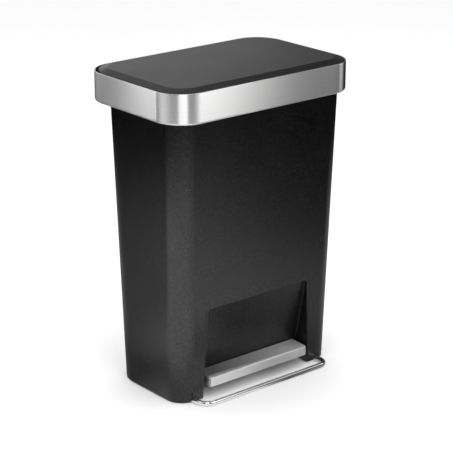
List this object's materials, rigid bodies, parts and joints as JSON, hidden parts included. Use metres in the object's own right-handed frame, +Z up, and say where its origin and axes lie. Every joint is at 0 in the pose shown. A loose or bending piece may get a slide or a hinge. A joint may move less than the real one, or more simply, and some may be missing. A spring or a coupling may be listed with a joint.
{
  "type": "pedal trash can",
  "caption": "Rectangular pedal bin: tapered plastic can, steel rim band that flips up, black lid that the pedal lifts, steel-faced pedal and chromed floor bar.",
  "frame": {"origin": "on the floor under the middle of the whole bin", "axes": "+Z up, the pedal and front face -Y, +X to the right seen from the front"},
  "size_m": [0.474, 0.3102, 0.6642],
  "materials": {
    "can_plastic": "fine moulded texture, dark grey",
    "base_plastic": "moulded black",
    "frame_plastic": "moulded black",
    "pan_plastic": "moulded black",
    "lid_plastic": "satin moulded, dark grey",
    "band_steel": "satin stainless steel",
    "chrome": "polished",
    "zinc_steel": "zinc plated",
    "screw_steel": "plated",
    "nylon": "natural nylon",
    "rubber": "soft black"
  },
  "bodies": {
    "can": {"body_shell": "can_plastic", "base_plate": "base_plastic", "base_screws": "screw_steel", "rubber_feet": "rubber", "stabiliser_bar": "chrome", "stabiliser_clips": "base_plastic", "clip_screws": "screw_steel", "axle_brackets": "zinc_steel", "bracket_screws": "screw_steel", "pedal_axle": "zinc_steel", "axle_clips": "screw_steel", "lever_stop": "rubber", "rod_guides": "nylon", "rod_cover": "can_plastic", "rod_cover_screws": "screw_steel", "damper_cylinder": "base_plastic", "damper_clamps": "base_plastic", "rim_hinge_brackets": "zinc_steel", "hinge_screws": "screw_steel", "rim_hinge_pins": "zinc_steel"},
    "pedal": {"pedal_lever": "zinc_steel", "link_pin": "zinc_steel", "pedal_plate": "band_steel", "pedal_core": "base_plastic", "pedal_screws": "screw_steel"},
    "rod": {"push_rod": "zinc_steel", "rod_foot": "nylon", "rod_head": "nylon", "damper_rod": "zinc_steel", "damper_arm": "zinc_steel"},
    "rim": {"rim_band": "band_steel", "rim_frame": "frame_plastic", "rim_pads": "rubber"},
    "lid": {"lid_panel": "lid_plastic", "lid_underpan": "pan_plastic", "underpan_screws": "screw_steel", "lid_hinge_pins": "zinc_steel", "lid_bumpers": "rubber", "lid_crank": "zinc_steel", "crank_screws": "screw_steel", "crank_shoe": "nylon", "shoe_pin": "zinc_steel"}
  },
  "joints": [
    {"name": "lid_hinge", "type": "hinge", "parent": "rim", "child": "lid", "pos_m": [0, 0.1241, 0.652], "axis": [-1, 0, 0], "range_deg": [0, 75]},
    {"name": "rim_hinge", "type": "hinge", "parent": "can", "child": "rim", "pos_m": [0, 0.1391, 0.6], "axis": [-1, 0, 0], "range_deg": [0, 60]},
    {"name": "pedal_pivot", "type": "hinge", "parent": "can", "child": "pedal", "pos_m": [0, -0.0249, 0.03], "axis": [1, 0, 0], "range_deg": [0, 11.2]},
    {"name": "rod_slide", "type": "slide", "parent": "can", "child": "rod", "axis": [0, 0, 1], "range_m": [0, 0.02437]}
  ],
  "couplings": [
    {"joint": "pedal_pivot", "follows": "lid_hinge", "ratio": 0.14906},
    {"joint": "rod_slide", "follows": "lid_hinge", "m_per_rad": 0.018602}
  ]
}
